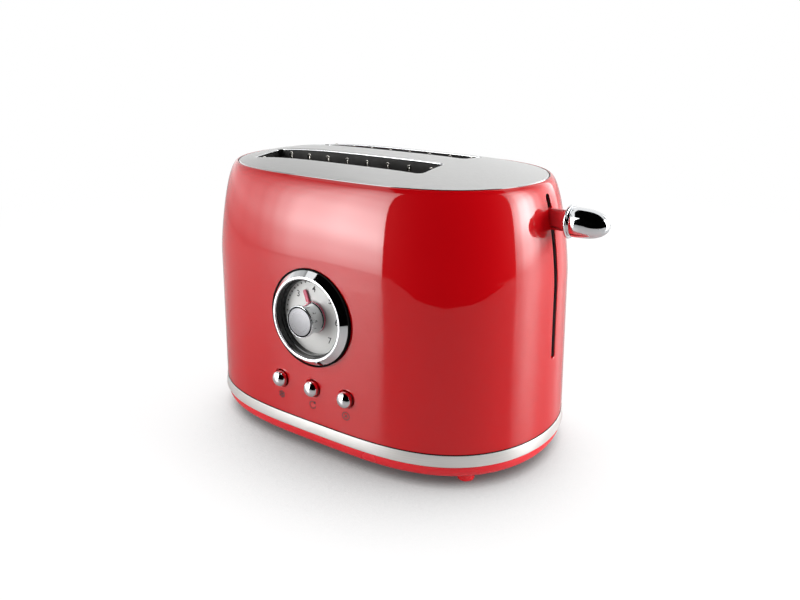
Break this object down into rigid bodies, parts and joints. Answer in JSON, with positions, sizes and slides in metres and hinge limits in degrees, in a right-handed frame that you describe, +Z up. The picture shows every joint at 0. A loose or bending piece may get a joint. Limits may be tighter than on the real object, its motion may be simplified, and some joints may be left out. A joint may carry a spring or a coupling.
{
  "type": "toaster",
  "caption": "Rounded red toaster for sliced bread, with a chrome-ringed browning dial, chrome push buttons, a side lever with a bullet knob and a rear crumb tray.",
  "frame": {"origin": "centre of the object's box in plan, at the floor under the feet", "axes": "+Z up, the dial and buttons face -Y, the lever is at the +X end"},
  "size_m": [0.3008, 0.1862, 0.196],
  "materials": {
    "aluminised_steel": "dull grey",
    "brushed_steel": "fine brushed, satin",
    "chrome": "mirror bright",
    "circuit_green": "green laminate",
    "dark_plastic": "black",
    "dark_steel": "dark grey satin",
    "mica": "matt buff mica",
    "polished_band": "bright satin",
    "red_paint": "gloss red enamel",
    "red_plastic": "gloss red",
    "red_pointer": "gloss pinkish red",
    "silver_print": "fine satin silver",
    "wire_steel": "bright drawn"
  },
  "bodies": {
    "housing": {"base_pan": "red_plastic", "trim_band": "polished_band", "foot_front_left": "red_plastic", "foot_rear_left": "red_plastic", "foot_front_right": "red_plastic", "foot_rear_right": "red_plastic", "cord_gland": "dark_plastic", "end_plate_left": "aluminised_steel", "end_plate_right": "aluminised_steel", "heater_board_front": "mica", "heater_board_middle": "mica", "heater_board_rear": "mica", "reflector_front": "aluminised_steel", "reflector_rear": "aluminised_steel", "guide_rod": "wire_steel", "latch_magnet": "dark_plastic", "slot_frame": "dark_steel", "control_board": "circuit_green", "dial_bezel": "chrome", "dial_face": "silver_print", "timer_unit": "dark_plastic", "switch_defrost": "dark_plastic", "switch_reheat": "dark_plastic", "switch_cancel": "dark_plastic", "button_guide": "red_plastic", "body_shell": "red_paint", "top_plate": "brushed_steel"},
    "carriage": {"carriage": "aluminised_steel", "lifter_front": "wire_steel", "lifter_rear": "wire_steel", "lever_arm": "red_plastic", "lever_knob": "chrome", "armature": "wire_steel", "return_spring": "wire_steel"},
    "guard_front_outer": {"guard_front_outer": "wire_steel"},
    "guard_front_inner": {"guard_front_inner": "wire_steel"},
    "guard_rear_outer": {"guard_rear_outer": "wire_steel"},
    "guard_rear_inner": {"guard_rear_inner": "wire_steel"},
    "dial": {"control_knob": "chrome", "dial_pointer": "red_pointer", "dial_shaft": "wire_steel"},
    "button_defrost": {"button_defrost": "chrome", "plunger_defrost": "dark_plastic"},
    "button_reheat": {"button_reheat": "chrome", "plunger_reheat": "dark_plastic"},
    "button_cancel": {"button_cancel": "chrome", "plunger_cancel": "dark_plastic"},
    "crumb_tray": {"crumb_tray": "aluminised_steel", "tray_grip": "red_plastic"}
  },
  "joints": [
    {"name": "lever_slide", "type": "slide", "parent": "housing", "child": "carriage", "axis": [0, 0, -1], "range_m": [0, 0.08], "stiffness_N_per_m": 60, "springref_m": -0.06, "deforming": ["return_spring"]},
    {"name": "guard_front_outer_slide", "type": "slide", "parent": "housing", "child": "guard_front_outer", "axis": [0, 1, 0], "range_m": [0, 0.006]},
    {"name": "guard_front_inner_slide", "type": "slide", "parent": "housing", "child": "guard_front_inner", "axis": [0, -1, 0], "range_m": [0, 0.006]},
    {"name": "guard_rear_outer_slide", "type": "slide", "parent": "housing", "child": "guard_rear_outer", "axis": [0, -1, 0], "range_m": [0, 0.006]},
    {"name": "guard_rear_inner_slide", "type": "slide", "parent": "housing", "child": "guard_rear_inner", "axis": [0, 1, 0], "range_m": [0, 0.006]},
    {"name": "browning_dial_turn", "type": "hinge", "parent": "housing", "child": "dial", "pos_m": [-0.0136, -0.08146, 0.099], "axis": [0, 0.9986, -0.0523], "range_deg": [-113, 157]},
    {"name": "defrost_press", "type": "slide", "parent": "housing", "child": "button_defrost", "axis": [0, 0.9986, -0.0523], "range_m": [0, 0.0025], "stiffness_N_per_m": 300, "springref_m": -0.002},
    {"name": "reheat_press", "type": "slide", "parent": "housing", "child": "button_reheat", "axis": [0, 0.9986, -0.0523], "range_m": [0, 0.0025], "stiffness_N_per_m": 300, "springref_m": -0.002},
    {"name": "cancel_press", "type": "slide", "parent": "housing", "child": "button_cancel", "axis": [0, 0.9986, -0.0523], "range_m": [0, 0.0025], "stiffness_N_per_m": 300, "springref_m": -0.002},
    {"name": "crumb_tray_draw", "type": "slide", "parent": "housing", "child": "crumb_tray", "axis": [0, 1, 0], "range_m": [0, 0.1466]}
  ],
  "couplings": [
    {"joint": "guard_front_outer_slide", "follows": "lever_slide", "ratio": 0.075},
    {"joint": "guard_front_inner_slide", "follows": "lever_slide", "ratio": 0.075},
    {"joint": "guard_rear_outer_slide", "follows": "lever_slide", "ratio": 0.075},
    {"joint": "guard_rear_inner_slide", "follows": "lever_slide", "ratio": 0.075}
  ]
}
